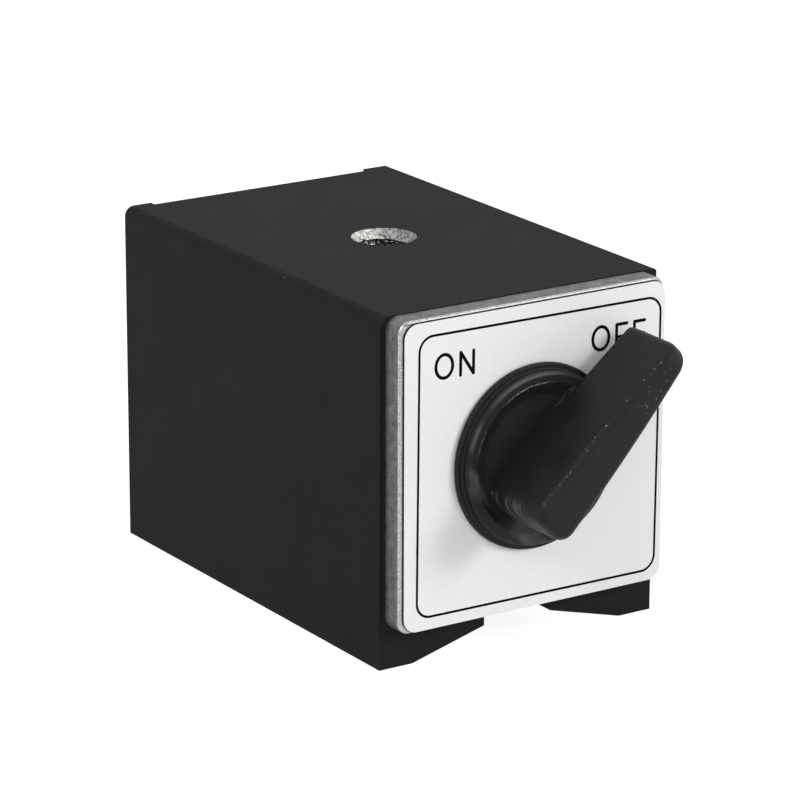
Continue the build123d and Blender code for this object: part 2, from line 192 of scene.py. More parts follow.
def add_node(tree, kind, inputs=None, **settings):
    """Adds a node with its settings and its inputs."""
    node = tree.nodes.new(kind)
    for name, value in settings.items():
        setattr(node, name, value)
    feed(tree, node, inputs or {})
    return node


def opaque(rgb):
    """Colour with an alpha of one, as colour sockets take it."""
    return (*rgb, 1.0)


def new_material(name):
    """Empty node material, with its Object coordinates and the colours of the finishes."""
    material = bpy.data.materials.new(name)
    material.use_nodes = True
    tree = material.node_tree
    tree.nodes.clear()
    place = add_node(tree, "ShaderNodeTexCoord").outputs["Object"]
    return material, tree, place, bpy.context.scene.magnetic_base_colours


def shared(make):
    """Material that several pieces share, made once by the function of its name."""
    return bpy.data.materials.get(make.__name__) or make()


def uneven(tree, place, size, detail, tones=(0.0, 1.0), span=(0.3, 0.7)):
    """Noise whose features have a real size, and a span of that noise spread over a range of tones."""
    noise = add_node(tree, "ShaderNodeTexNoise", {"Vector": place, "Scale": 1 / size, "Detail": detail})
    ends = {"From Min": span[0], "From Max": span[1], "To Min": tones[0], "To Max": tones[1]}
    return noise, add_node(tree, "ShaderNodeMapRange", {"Value": noise, **ends})


def band(tree, value, low, high, soft):
    """Mask that is 1 from low to high and fades out over a soft margin on both sides."""
    half = (high - low) / 2
    off = add_node(tree, "ShaderNodeMath", {0: value, 1: low + half}, operation="SUBTRACT")
    away = add_node(tree, "ShaderNodeMath", {0: off}, operation="ABSOLUTE")
    ends = {"From Min": half, "From Max": half + soft, "To Min": 1.0, "To Max": 0.0}
    return add_node(tree, "ShaderNodeMapRange", {"Value": away, **ends})


def lay_surface(tree, rgb, shade, values, relief=None, patches=None):
    """Gives a material its shaded colour, its gloss, its relief and patches of another colour."""
    skin = add_node(tree, "ShaderNodeVectorMath", {0: tuple(rgb), "Scale": shade}, operation="SCALE")
    if patches:
        mask, other = patches
        mixed = add_node(tree, "ShaderNodeMix", {0: mask, 6: skin, 7: opaque(other)}, data_type="RGBA")
        skin = mixed.outputs[2]
    inputs = {"Base Color": skin, **values}
    if relief:
        height, strength, depth = relief
        bump = {"Height": height, "Strength": strength, "Distance": depth}
        inputs["Normal"] = add_node(tree, "ShaderNodeBump", bump)
    shader = add_node(tree, "ShaderNodeBsdfPrincipled", inputs)
    add_node(tree, "ShaderNodeOutputMaterial", {"Surface": shader})


def textured_powder_coat():
    """Black powder coat, sprayed and baked: a fine pebbled skin that scatters what it reflects."""
    material, tree, place, colours = new_material("textured_powder_coat")
    pebbles, grain = uneven(tree, place, 0.45 * MM, 3.0, (0.85, 1.15))
    # Thicker and thinner coats of powder look a little lighter and darker
    _, tone = uneven(tree, place, 9 * MM, 4.0, (0.92, 1.08))
    shade = add_node(tree, "ShaderNodeMath", {0: tone, 1: grain}, operation="MULTIPLY")
    # A few small chips sit on the left top edge, where the base is picked up, but not near the front
    x, y, z = add_node(tree, "ShaderNodeSeparateXYZ", {0: place}).outputs
    beside = add_node(tree, "ShaderNodeMath", {0: x, 1: block_low.x}, operation="SUBTRACT")
    below = add_node(tree, "ShaderNodeMath", {0: block_high.z, 1: z}, operation="SUBTRACT")
    from_edge = add_node(tree, "ShaderNodeMath", {0: beside, 1: below}, operation="ADD")
    on_edge = band(tree, from_edge, 0.0, 0.7 * MM, 0.4 * MM)
    first_chips = {"From Min": block_low.y + 14 * MM, "From Max": block_low.y + 20 * MM}
    behind_front = add_node(tree, "ShaderNodeMapRange", {"Value": y, **first_chips})
    _, sparse = uneven(tree, place, 1.0 * MM, 2.0, span=(0.68, 0.8))
    wear_and_highlights = add_node(tree, "ShaderNodeMath", {0: on_edge, 1: behind_front}, operation="MULTIPLY")
    chips = add_node(tree, "ShaderNodeMath", {0: wear_and_highlights, 1: sparse}, operation="MULTIPLY")
    values = {"Roughness": 0.75, "Specular IOR Level": 0.1}
    lay_surface(tree, colours.coating, shade, values, (pebbles, 0.35, 0.04 * MM), (chips, colours.chip))
    return material


def ground_steel():
    """Mild steel ground on a surface grinder: bright, with straight fine scratches along Y."""
    material, tree, place, colours = new_material("ground_steel")
    drawn = add_node(tree, "ShaderNodeMapping", {"Vector": place, "Scale": (1.0, 0.02, 1.0)})
    # Real grinding marks are finer than a tenth of this and wouldn't show
    scratches, gloss = uneven(tree, drawn, 0.2 * MM, 3.0, (0.24, 0.42))
    _, tone = uneven(tree, place, 6 * MM, 4.0, (0.8, 1.05))
    values = {"Roughness": gloss, "Metallic": 1.0}
    lay_surface(tree, colours.steel, tone, values, (scratches, 0.25, 0.01 * MM))
    return material


def tool_cut_metal():
    """Bare metal left by a countersink and a tap: rings of tool marks with torn bright specks, painted
    shade down the hole, painted glints in the thread and painted light at its left.
    """
    material, tree, place, colours = new_material("tool_cut_metal")
    ring_width = 0.3 * MM
    # The wave texture multiplies lengths by 20
    rings = add_node(
        tree,
        "ShaderNodeTexWave",
        {"Vector": place, "Scale": 1 / ring_width / 20, "Distortion": 2.0, "Detail": 3.0},
        wave_type="RINGS",
        rings_direction="Z",
    )
    tears, tone = uneven(tree, place, 0.5 * MM, 4.0, (0.4, 1.3), (0.38, 0.62))
    ends = {"From Min": 0.35, "From Max": 0.65, "To Min": 0.5, "To Max": 0.25}
    gloss = add_node(tree, "ShaderNodeMapRange", {"Value": tears, **ends})
    # Painted shade darkens the thread down in the hole, with a ragged edge in the countersink, and painted
    # light brightens the cut at its left
    x, _, z = add_node(tree, "ShaderNodeSeparateXYZ", {0: place}).outputs
    raggedness = 4 * MM
    ragged = add_node(tree, "ShaderNodeMath", {0: tears, 1: raggedness, 2: z}, operation="MULTIPLY_ADD")
    edge = spacer_high.z + 0.3 * MM
    ends = {"From Min": edge, "From Max": edge + 0.3 * MM, "To Min": 0.06, "To Max": 1.0}
    hole_shade = add_node(tree, "ShaderNodeMapRange", {"Value": ragged, **ends})
    painted_left_light = band(tree, x, -3.0 * MM, 0.5 * MM, 2.0 * MM)
    side = add_node(tree, "ShaderNodeMapRange", {"Value": painted_left_light, "To Min": 0.62, "To Max": 1.4})
    # Bright specks in the thread are painted glints
    _, thread_glints = uneven(tree, place, 0.6 * MM, 2.0, span=(0.54, 0.58))
    clear_of_shade = add_node(tree, "ShaderNodeMath", {0: hole_shade, 1: thread_glints}, operation="MAXIMUM")
    lit = add_node(tree, "ShaderNodeMath", {0: clear_of_shade, 1: side}, operation="MULTIPLY")
    shade = add_node(tree, "ShaderNodeMath", {0: tone, 1: lit}, operation="MULTIPLY")
    marks = add_node(tree, "ShaderNodeMath", {0: rings.outputs["Fac"], 1: tears}, operation="ADD")
    values = {"Roughness": gloss, "Metallic": 1.0}
    lay_surface(tree, colours.steel, shade, values, (marks, 0.6, 0.06 * MM))
    return material


def beyond_label(tree, place):
    """Distance from the middles of the label's rounded corners, which is their radius at its outline."""
    middle = (label_low + label_high) / 2
    half = (label_high - label_low) / 2
    # An inset of 1 m leaves the depth out
    inset = (half.x - label_corner, 1.0, half.z - label_corner)
    steps = ((tuple(middle), "SUBTRACT"), (None, "ABSOLUTE"), (inset, "SUBTRACT"), ((0, 0, 0), "MAXIMUM"))
    for other, operation in steps:
        inputs = {0: place} if other is None else {0: place, 1: other}
        place = add_node(tree, "ShaderNodeVectorMath", inputs, operation=operation)
    return add_node(tree, "ShaderNodeVectorMath", {0: place}, operation="LENGTH").outputs["Value"]


def brushed_plate_front():
    """Aluminium plate brushed along X: fine lines that stretch its highlights, with painted shade on its
    flat margin and a painted shadow around the label.
    """
    material, tree, place, colours = new_material("brushed_plate_front")
    drawn = add_node(tree, "ShaderNodeMapping", {"Vector": place, "Scale": (0.03, 1.0, 1.0)})
    # Real brush marks are finer; these are as coarse as they need to be to show
    lines, tone = uneven(tree, drawn, 0.15 * MM, 3.0, (0.8, 1.1))
    # The flat margin in front of the rounded edge is darkened as painted shade, so that the rounded edge
    # stands out brighter
    _, y, z = add_node(tree, "ShaderNodeSeparateXYZ", {0: place}).outputs
    front = plate_low.y
    ends = {"From Min": front + 0.01 * MM, "From Max": front + 0.06 * MM, "To Min": 0.9, "To Max": 1.0}
    margin_shade = add_node(tree, "ShaderNodeMapRange", {"Value": y, **ends})
    _, glints = uneven(tree, place, 0.25 * MM, 2.0, (0.7, 1.2), (0.35, 0.65))
    # A thin dark line around the label's outline is painted shadow of the label's edge
    shadow_width = 0.08 * MM
    edge_shadow = band(tree, beyond_label(tree, place), label_corner - 1 * MM, label_corner + shadow_width, shadow_width)
    clear_of_shade = add_node(tree, "ShaderNodeMapRange", {"Value": edge_shadow, "To Min": 1.0, "To Max": 0.15})
    # Along the top the painted shade reaches further up the rounded edge
    ends = {"From Min": plate_high.z - 0.75 * MM, "From Max": plate_high.z - 0.65 * MM}
    by_top = add_node(tree, "ShaderNodeMapRange", {"Value": z, **ends})
    ends = {"From Min": front + 0.05 * MM, "From Max": front + 0.14 * MM, "To Min": 1.0, "To Max": 0.0}
    in_front = add_node(tree, "ShaderNodeMapRange", {"Value": y, **ends})
    top_shade = add_node(tree, "ShaderNodeMath", {0: by_top, 1: in_front}, operation="MULTIPLY")
    shade = add_node(tree, "ShaderNodeMapRange", {"Value": top_shade, "To Min": 1.0, "To Max": 0.5})
    for factor in (margin_shade, glints, clear_of_shade, tone):
        shade = add_node(tree, "ShaderNodeMath", {0: shade, 1: factor}, operation="MULTIPLY")
    values = {"Metallic": 1.0, "Roughness": 0.38}
    lay_surface(tree, colours.plate, shade, values, (lines, 0.3, 0.02 * MM))
    return material


def blasted_plate_side():
    """Sides of the aluminium plate, blasted with shot: dull, mottled and slightly pitted."""
    material, tree, place, colours = new_material("blasted_plate_side")
    _, tone = uneven(tree, place, 1.6 * MM, 6.0, (0.7, 1.25))
    pits, glints = uneven(tree, place, 0.35 * MM, 2.0, (0.82, 1.18), (0.35, 0.65))
    # Painted light makes its left and right ends paler towards the block
    x, y, _ = add_node(tree, "ShaderNodeSeparateXYZ", {0: place}).outputs
    half_way = (plate_low.y + plate_high.y) / 2
    ends = {"From Min": half_way, "From Max": plate_high.y, "To Min": 0.0, "To Max": 1.2}
    block_side_light = add_node(tree, "ShaderNodeMapRange", {"Value": y, **ends})
    from_middle = add_node(tree, "ShaderNodeMath", {0: x}, operation="ABSOLUTE")
    ends = {"From Min": plate_high.x - 1.2 * MM, "From Max": plate_high.x - 0.4 * MM}
    at_end = add_node(tree, "ShaderNodeMapRange", {"Value": from_middle, **ends})
    end_painted_light = add_node(tree, "ShaderNodeMath", {0: block_side_light, 1: at_end, 2: 1.0}, operation="MULTIPLY_ADD")
    grey = add_node(tree, "ShaderNodeMath", {0: tone, 1: glints}, operation="MULTIPLY")
    shade = add_node(tree, "ShaderNodeMath", {0: grey, 1: end_painted_light}, operation="MULTIPLY")
    values = {"Metallic": 1.0, "Roughness": 0.55}
    lay_surface(tree, colours.plate_side, shade, values, (pits, 0.5, 0.05 * MM))
    return material


def satin_label_face():
    """Aluminium foil coated satin white: pale, even, with a soft sheen and a trace of grain."""
    material, tree, place, colours = new_material("satin_label_face")
    grain, tone = uneven(tree, place, 0.5 * MM, 3.0, (0.97, 1.0))
    lay_surface(tree, colours.label, tone, {"Roughness": 0.42}, (grain, 0.06, 0.02 * MM))
    return material


def cut_label_edge():
    """Sheared edge of the foil, painted a dark grey as shade along the label's outline: matt, and uneven in
    tone.
    """
    material, tree, place, colours = new_material("cut_label_edge")
    _, tone = uneven(tree, place, 1.2 * MM, 3.0, (0.6, 1.5))
    lay_surface(tree, colours.label_edge, tone, {"Roughness": 0.7, "Specular IOR Level": 0.2})
    return material


def screen_ink():
    """Black screen-printing ink: a thin flat film with faint marks of the screen's mesh."""
    material, tree, place, colours = new_material("screen_ink")
    _, tone = uneven(tree, place, 0.2 * MM, 2.0, (0.7, 1.6))
    lay_surface(tree, colours.ink, tone, {"Roughness": 0.6, "Specular IOR Level": 0.03})
    return material


def lever_wear(tree, along, out, specks):
    """Pale specks along the rounded edge of the lever that the thumb rubs, and on the front by its tip."""
    edge_slant = math.radians(62)
    edge_facing = Vector((-math.sin(edge_slant), 0, math.sin(edge_slant))) / math.sqrt(2)
    edge_facing.y = -math.cos(edge_slant)
    facing = add_node(tree, "ShaderNodeTexCoord").outputs["Normal"]
    match = {0: facing, 1: tuple(edge_facing)}
    on_edge = add_node(tree, "ShaderNodeVectorMath", match, operation="DOT_PRODUCT").outputs["Value"]
    # Faces that turn less than about 10 degrees away from the edge's own direction
    edge = band(tree, on_edge, 0.985, 1.0, 0.01)
    high_up = band(tree, out, -15 * MM, -10 * MM, 0.5 * MM)
    edge_wear_and_highlights = add_node(tree, "ShaderNodeMath", {0: edge, 1: high_up}, operation="MULTIPLY")
    by_tip = band(tree, along, 14 * MM, 21 * MM, 2 * MM)
    front = band(tree, out, -15 * MM, -14.5 * MM, 0.2 * MM)
    knocked = add_node(tree, "ShaderNodeMath", {0: by_tip, 1: front}, operation="MULTIPLY")
    faintness = 0.25
    faint = add_node(tree, "ShaderNodeMath", {0: knocked, 1: faintness}, operation="MULTIPLY")
    wear_and_highlights = add_node(tree, "ShaderNodeMath", {0: edge_wear_and_highlights, 1: faint}, operation="MAXIMUM")
    return add_node(tree, "ShaderNodeMath", {0: wear_and_highlights, 1: specks}, operation="MULTIPLY")


def rim_wear(tree, out, flat, dots):
    """Painted highlight arcs on the upper left of the rim: dotted on its inner lip and even on its outer
    edge.
    """
    radius = add_node(tree, "ShaderNodeVectorMath", {0: flat}, operation="LENGTH").outputs["Value"]
    outward = add_node(tree, "ShaderNodeVectorMath", {0: flat}, operation="NORMALIZE")
    lip = band(tree, radius, 11.85 * MM, 12.0 * MM, 0.15 * MM)
    dotted = add_node(tree, "ShaderNodeMath", {0: lip, 1: dots}, operation="MULTIPLY")
    edge = band(tree, radius, 13.2 * MM, 13.3 * MM, 0.3 * MM)
    # Middle and half width of each arc in degrees, anticlockwise from the right, and its strength
    arcs = ((dotted, 104, 26, 1.0), (dotted, 158, 10, 0.5), (edge, 104, 34, 0.3), (edge, 156, 12, 0.25))
    wear_and_highlights = 0.0
    for ring, middle, half, strength in arcs:
        turn = math.radians(middle) - lever_angle
        towards = {0: outward, 1: (math.cos(turn), 0.0, math.sin(turn))}
        nearness = add_node(tree, "ShaderNodeVectorMath", towards, operation="DOT_PRODUCT")
        # It fades out towards both ends of the arc
        fade = {"From Min": math.cos(math.radians(half)), "From Max": math.cos(math.radians(half / 3))}
        fade.update({"Value": nearness.outputs["Value"], "To Min": 0.0, "To Max": strength})
        reach = add_node(tree, "ShaderNodeMapRange", fade)
        arc = add_node(tree, "ShaderNodeMath", {0: ring, 1: reach}, operation="MULTIPLY")
        wear_and_highlights = add_node(tree, "ShaderNodeMath", {0: arc, 1: wear_and_highlights}, operation="MAXIMUM")
    low_down = band(tree, out, -2.7 * MM, -1.8 * MM, 0.3 * MM)
    return add_node(tree, "ShaderNodeMath", {0: wear_and_highlights, 1: low_down}, operation="MULTIPLY")


def tail_wear(tree, place, along, out):
    """Fine pale streaks across the lever's tail end, painted as a highlight."""
    drawn = add_node(tree, "ShaderNodeMapping", {"Vector": place, "Scale": (0.12, 1.0, 0.12)})
    _, lines = uneven(tree, drawn, 0.9 * MM, 2.0, span=(0.45, 0.7))
    tail = band(tree, along, -11 * MM, -9 * MM, 0.8 * MM)
    side = band(tree, out, -9 * MM, -3 * MM, 1.5 * MM)
    end = add_node(tree, "ShaderNodeMath", {0: tail, 1: side}, operation="MULTIPLY")
    faintness = 0.4
    faint = add_node(tree, "ShaderNodeMath", {0: end, 1: faintness}, operation="MULTIPLY")
    return add_node(tree, "ShaderNodeMath", {0: faint, 1: lines}, operation="MULTIPLY")


def moulded_nylon():
    """Glass-filled black nylon, injection moulded: a spark-eroded grain with scuffed, paler edges on the
    lever, and painted highlights on the rim and by the lever's tail.
    """
    material, tree, place, colours = new_material("moulded_nylon")
    grain, dots = uneven(tree, place, 0.3 * MM, 3.0, span=(0.47, 0.55))
    flow, tone = uneven(tree, place, 5 * MM, 5.0, (0.9, 1.15))
    ends = {"From Min": 0.3, "From Max": 0.7, "To Min": 0.4, "To Max": 0.55}
    gloss = add_node(tree, "ShaderNodeMapRange", {"Value": flow, **ends})
    # Along the lever and out of the label (below zero), from the knob's middle
    knob_middle = (turn_axis.x, label_low.y, turn_axis.z)
    turned = {"Vector": place, "Location": knob_middle, "Rotation": (0.0, -lever_angle, 0.0)}
    on_knob = add_node(tree, "ShaderNodeMapping", turned, vector_type="TEXTURE")
    along, out, _ = add_node(tree, "ShaderNodeSeparateXYZ", {0: on_knob}).outputs
    flat = add_node(tree, "ShaderNodeVectorMath", {0: on_knob, 1: (1.0, 0.0, 1.0)}, operation="MULTIPLY")
    _, specks = uneven(tree, place, 0.55 * MM, 2.0, span=(0.63, 0.7))
    lever = lever_wear(tree, along, out, specks)
    # The rim's arcs and the tail's streaks are painted highlights
    rim = rim_wear(tree, out, flat, dots)
    edge_wear_and_highlights = add_node(tree, "ShaderNodeMath", {0: lever, 1: rim}, operation="MAXIMUM")
    tail = tail_wear(tree, place, along, out)
    scuffs_and_highlights = add_node(tree, "ShaderNodeMath", {0: edge_wear_and_highlights, 1: tail}, operation="MAXIMUM")
    values = {"Roughness": gloss, "Specular IOR Level": 0.15}
    lay_surface(tree, colours.moulding, tone, values, (grain, 0.25, 0.03 * MM), (scuffs_and_highlights, colours.scuff))
    return material


def plain_finish(name, colour_name, grain_size, contrast, roughness, metallic):
    """Finish of a screw or an inner part: its colour broken up by a grain of its real size."""
    material, tree, place, colours = new_material(name)
    grain, tone = uneven(tree, place, grain_size, 4.0, (1 - contrast, 1 + contrast / 2))
    values = {"Roughness": roughness, "Metallic": metallic}
    lay_surface(tree, getattr(colours, colour_name), tone, values, (grain, 0.4, grain_size / 8))
    return material


def finish(node, material):
    """Gives a CAD node that stays in view its material."""
    solid = frame["nodes"][node]
    solid.data.materials.clear()
    solid.data.materials.append(material)


def baked(piece):
    """Turns a piece's modifiers into a plain mesh of its own and removes them."""
    graph = bpy.context.evaluated_depsgraph_get()
    mesh = bpy.data.meshes.new_from_object(piece.evaluated_get(graph), depsgraph=graph)
    mesh.name = piece.name
    if piece.type == "MESH":
        piece.modifiers.clear()
        piece.data = mesh
        return piece
    name = piece.name
    bpy.data.objects.remove(piece)
    return new_piece(name, mesh)


def new_piece(name, mesh):
    """Object at the origin that carries the mesh."""
    piece = bpy.data.objects.new(name, mesh)
    bpy.context.scene.collection.objects.link(piece)
    return piece


def smooth_copy(node, name, *materials):
    """Copy of a CAD node with its triangles joined, so that its rounded edges shade smoothly."""
    mesh = bpy.data.meshes.new(name)
    shape = bmesh.new()
    shape.from_mesh(frame["nodes"][node].data)
    touching = 0.0005 * MM
    flat = math.radians(0.05)
    bmesh.ops.remove_doubles(shape, verts=shape.verts, dist=touching)
    bmesh.ops.dissolve_degenerate(shape, edges=shape.edges, dist=touching)
    bmesh.ops.dissolve_limit(shape, angle_limit=flat, verts=shape.verts, edges=shape.edges, delimit=set())
    shape.to_mesh(mesh)
    shape.free()
    mesh.materials.clear()
    for material in materials:
        mesh.materials.append(material)
    return evenly_shaded(new_piece(name, mesh))


def evenly_shaded(piece):
    """Shades round faces smoothly while the large flat faces beside them stay flat."""
    crease = math.radians(32)
    piece.data.shade_smooth()
    piece.data.set_sharp_from_angle(angle=crease)
    even = piece.modifiers.new("even_shading", "WEIGHTED_NORMAL")
    even.mode = "FACE_AREA_WITH_ANGLE"
    even.keep_sharp = True
    return baked(piece)


def paint_faces(piece, slot, chosen):
    """Gives every face that is chosen by its centre and its normal another material slot."""
    for face in piece.data.polygons:
        if chosen(face.center, face.normal):
            face.material_index = slot


def settle(piece, body, slot, *nodes):
    """Puts a finished piece in the frame: what it replaces and its body; its slot is not used."""
    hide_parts(*nodes)
    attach(piece, body)


def new_tree(name, inputs):
    """Geometry Nodes tree with named inputs, listed by their kind of socket, and one geometry output."""
    tree = bpy.data.node_groups.new(name, "GeometryNodeTree")
    for kind, labels in inputs.items():
        for label in labels:
            tree.interface.new_socket(label, in_out="INPUT", socket_type="NodeSocket" + kind)
    tree.interface.new_socket("Geometry", in_out="OUTPUT", socket_type="NodeSocketGeometry")
    return tree, add_node(tree, "NodeGroupInput").outputs


def run_tree(piece, tree, values):
    """Runs a Geometry Nodes tree on a piece, with its inputs set by name."""
    modifier = piece.modifiers.new(tree.name, "NODES")
    modifier.node_group = tree
    for item in tree.interface.items_tree:
        if item.item_type == "SOCKET" and item.in_out == "INPUT" and item.name in values:
            modifier[item.identifier] = values[item.name]
    return baked(piece)


def turned_grid(tree, facets, rows):
    """Grid to be wrapped into a turned shape: its turn from 0 to 1 and its row's number."""
    columns = add_node(tree, "ShaderNodeMath", {0: facets, 1: 1.0}, operation="ADD")
    grid = add_node(
        tree,
        "GeometryNodeMeshGrid",
        {"Size X": 1.0, "Size Y": 1.0, "Vertices X": columns, "Vertices Y": rows},
    )
    here = add_node(tree, "GeometryNodeInputPosition")
    split = add_node(tree, "ShaderNodeSeparateXYZ", {0: here})
    turn = add_node(tree, "ShaderNodeMath", {0: split, 1: 0.5}, operation="ADD")
    share = add_node(tree, "ShaderNodeMath", {0: split.outputs[1], 1: 0.5}, operation="ADD")
    last = add_node(tree, "ShaderNodeMath", {0: rows, 1: 1.0}, operation="SUBTRACT")
    row = add_node(tree, "ShaderNodeMath", {0: share, 1: last}, operation="MULTIPLY")
    number = add_node(tree, "ShaderNodeMath", {0: row}, operation="ROUND")
    return grid, turn, number, last


def wrapped(tree, grid, turn, radius, height, direction):
    """Wraps a grid around Z at the given radius and height, and closes its seam and poles."""
    seam = 0.0002 * MM
    angle = add_node(tree, "ShaderNodeMath", {0: turn, 1: direction * math.tau}, operation="MULTIPLY")
    across = add_node(tree, "ShaderNodeMath", {0: angle}, operation="COSINE")
    along = add_node(tree, "ShaderNodeMath", {0: angle}, operation="SINE")
    x = add_node(tree, "ShaderNodeMath", {0: across, 1: radius}, operation="MULTIPLY")
    y = add_node(tree, "ShaderNodeMath", {0: along, 1: radius}, operation="MULTIPLY")
    place = add_node(tree, "ShaderNodeCombineXYZ", {0: x, 1: y, 2: height})
    moved = add_node(tree, "GeometryNodeSetPosition", {"Geometry": grid, "Position": place})
    return add_node(tree, "GeometryNodeMergeByDistance", {"Geometry": moved, "Distance": seam})


def thread_wave(tree, height, turn, pitch):
    """Triangle wave of a helical thread, from 0 in its crests to 1 in its roots."""
    turns = add_node(tree, "ShaderNodeMath", {0: height, 1: pitch}, operation="DIVIDE")
    phase = add_node(tree, "ShaderNodeMath", {0: turns, 1: turn}, operation="SUBTRACT")
    half = add_node(tree, "ShaderNodeMath", {0: phase, 1: 0.5}, operation="PINGPONG")
    return add_node(tree, "ShaderNodeMath", {0: half, 1: 2.0}, operation="MULTIPLY")


def tapped_hole_tree():
    """Cuts a countersunk hole with a helical thread along Z, bare in a coated body."""
    tree, given = new_tree(
        "tapped_hole",
        {
            "Geometry": ("Body",),
            "Float": ("Thread Radius", "Drill Radius", "Mouth Radius", "Pitch", "Bottom", "Top", "Face"),
            "Int": ("Facets",),
            "Material": ("Bare Metal", "Coating"),
        },
    )
    rows_per_turn = 16.0
    span = add_node(tree, "ShaderNodeMath", {0: given["Top"], 1: given["Bottom"]}, operation="SUBTRACT")
    step = add_node(tree, "ShaderNodeMath", {0: given["Pitch"], 1: rows_per_turn}, operation="DIVIDE")
    steps = add_node(tree, "ShaderNodeMath", {0: span, 1: step}, operation="DIVIDE")
    # One row closes the plug at each end
    rows = add_node(tree, "ShaderNodeMath", {0: steps, 1: 3.0}, operation="ADD")
    whole = add_node(tree, "ShaderNodeMath", {0: rows}, operation="FLOOR")
    grid, turn, row, last = turned_grid(tree, given["Facets"], whole)
    top_row = add_node(tree, "ShaderNodeMath", {0: last, 1: 1.0}, operation="SUBTRACT")
    inner = add_node(tree, "ShaderNodeClamp", {0: row, 1: 1.0, 2: top_row})
    rise = add_node(
        tree, "ShaderNodeMath", {0: inner, 1: step, 2: given["Bottom"]}, operation="MULTIPLY_ADD"
    )
    wave = thread_wave(tree, rise, turn, given["Pitch"])
    # A 60 degree thread rises by 0.866 of its pitch; a quarter of it is cut off at the drilled wall
    lift = add_node(
        tree, "ShaderNodeMath", {0: given["Pitch"], 1: math.sin(math.radians(60))}, operation="MULTIPLY"
    )
    above = add_node(tree, "ShaderNodeMath", {0: wave, 1: 0.25}, operation="SUBTRACT")
    cut = add_node(
        tree, "ShaderNodeMath", {0: above, 1: lift, 2: given["Drill Radius"]}, operation="MULTIPLY_ADD"
    )
    ridge = add_node(tree, "ShaderNodeClamp", {0: cut, 1: given["Drill Radius"], 2: given["Thread Radius"]})
    over_face = add_node(tree, "ShaderNodeMath", {0: rise, 1: given["Face"]}, operation="SUBTRACT")
    cone = add_node(tree, "ShaderNodeMath", {0: over_face, 1: given["Mouth Radius"]}, operation="ADD")
    wall = add_node(tree, "ShaderNodeMath", {0: ridge, 1: cone}, operation="MAXIMUM")
    after_first = add_node(tree, "ShaderNodeMath", {0: row, 1: 0.5}, operation="GREATER_THAN")
    before_last = add_node(tree, "ShaderNodeMath", {0: last, 1: row}, operation="SUBTRACT")
    not_last = add_node(tree, "ShaderNodeMath", {0: before_last, 1: 0.5}, operation="GREATER_THAN")
    open_rows = add_node(tree, "ShaderNodeMath", {0: after_first, 1: not_last}, operation="MULTIPLY")
    radius = add_node(tree, "ShaderNodeMath", {0: wall, 1: open_rows}, operation="MULTIPLY")
    plug = wrapped(tree, grid, turn, radius, rise, 1.0)
    bared = {"Geometry": plug, "Material": given["Bare Metal"]}
    bare_plug = add_node(tree, "GeometryNodeSetMaterial", bared)
    solids = {"Mesh 1": given["Body"], "Mesh 2": bare_plug}
    carved = add_node(tree, "GeometryNodeMeshBoolean", solids, operation="DIFFERENCE", solver="EXACT")
    real = add_node(tree, "GeometryNodeRealizeInstances", {0: carved})
    is_bare = add_node(tree, "GeometryNodeMaterialSelection", {0: given["Bare Metal"]})
    is_coated = add_node(tree, "FunctionNodeBooleanMath", {0: is_bare}, operation="NOT")
    painted = add_node(
        tree,
        "GeometryNodeSetMaterial",
        {"Geometry": real, "Selection": is_coated, "Material": given["Coating"]},
    )
    add_node(tree, "NodeGroupOutput", {0: painted})
    return tree


